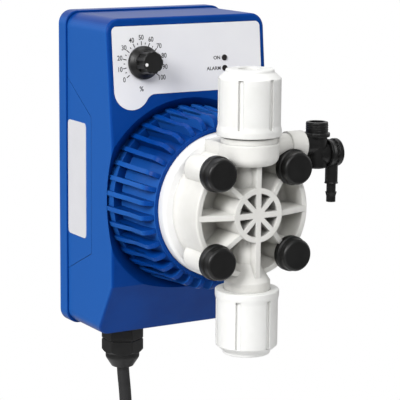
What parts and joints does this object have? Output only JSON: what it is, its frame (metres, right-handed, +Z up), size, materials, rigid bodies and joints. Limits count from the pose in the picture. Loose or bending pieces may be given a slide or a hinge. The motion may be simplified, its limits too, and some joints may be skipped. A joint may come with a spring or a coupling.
{
  "type": "diaphragm metering pump",
  "caption": "Wall-mounted solenoid diaphragm metering pump with a finned drum, webbed head, union-nut valves, bleed valve and dial.",
  "frame": {"origin": "middle of the back of the casing, on the wall", "axes": "+X to the right of someone facing the pump, +Y into the wall, +Z up; the pump faces -Y"},
  "size_m": [0.1397, 0.1439, 0.437],
  "materials": {
    "blue_plastic": "semi-gloss",
    "panel_film": "satin",
    "red_lens": "gloss",
    "white_plastic": "satin",
    "black_plastic": "satin",
    "pointer_white": "satin",
    "black_rubber": "matte",
    "steel": "satin",
    "bronze": "satin",
    "copper": "gloss",
    "bobbin_nylon": "satin",
    "board_green": "satin",
    "ceramic": "gloss",
    "cord_black": "matte",
    "pin_brass": "gloss"
  },
  "bodies": {
    "casing": {"rear_cover": "blue_plastic", "front_housing": "blue_plastic", "control_panel": "panel_film", "side_label": "panel_film", "lamp_lenses": "red_lens", "head_flange": "white_plastic", "pump_head": "white_plastic", "discharge_nut": "white_plastic", "suction_nut": "white_plastic", "discharge_clamp_ring": "white_plastic", "suction_clamp_ring": "white_plastic", "discharge_nipple": "white_plastic", "suction_nipple": "white_plastic", "discharge_cage": "white_plastic", "suction_cage": "white_plastic", "discharge_seat": "white_plastic", "suction_seat": "white_plastic", "screw_caps": "black_plastic", "bleed_body": "black_plastic", "gland_body": "black_plastic", "gland_locknut": "black_plastic", "gland_nut": "black_plastic", "terminal_block": "black_plastic", "dial_resistor": "black_plastic", "cover_seal": "black_rubber", "gland_washer": "black_rubber", "gland_seal": "black_rubber", "valve_rings": "black_rubber", "diaphragm": "black_rubber", "cover_screws": "steel", "head_screws": "steel", "head_washers": "steel", "solenoid_yoke": "steel", "yoke_plate": "steel", "pole_piece": "steel", "return_spring": "steel", "rod_bushing": "bronze", "coil_winding": "copper", "coil_bobbin": "bobbin_nylon", "circuit_board": "board_green", "power_cord": "cord_black", "cord_coil": "cord_black", "cord_tail": "cord_black", "cord_tie": "cord_black", "plug_body": "cord_black", "plug_pins": "pin_brass"},
    "dial": {"adjustment_knob": "black_plastic", "knob_pointer": "pointer_white", "dial_shaft": "steel"},
    "plunger": {"armature": "steel", "push_rod": "steel", "diaphragm_insert": "steel"},
    "discharge_ball": {"discharge_ball": "ceramic"},
    "suction_ball": {"suction_ball": "ceramic"},
    "bleed_knob": {"bleed_knob": "black_plastic"}
  },
  "joints": [
    {"name": "dial_turn", "type": "hinge", "parent": "casing", "child": "dial", "pos_m": [-0.0303, -0.06049, 0.0676], "axis": [0, -0.9952, 0.0981], "range_deg": [-234, 26]},
    {"name": "stroke", "type": "slide", "parent": "casing", "child": "plunger", "axis": [0, -1, 0], "range_m": [0, 0.00125], "stiffness_N_per_m": 8000, "springref_m": -0.004, "deforming": ["return_spring", "diaphragm"]},
    {"name": "discharge_ball_lift", "type": "slide", "parent": "casing", "child": "discharge_ball", "axis": [0, 0, 1], "range_m": [0, 0.0015]},
    {"name": "suction_ball_lift", "type": "slide", "parent": "casing", "child": "suction_ball", "axis": [0, 0, 1], "range_m": [0, 0.0015]},
    {"name": "bleed_turn", "type": "hinge", "parent": "casing", "child": "bleed_knob", "pos_m": [0.052, -0.126, 0.0192], "axis": [1, 0, 0], "range_deg": [-90, 90]}
  ]
}
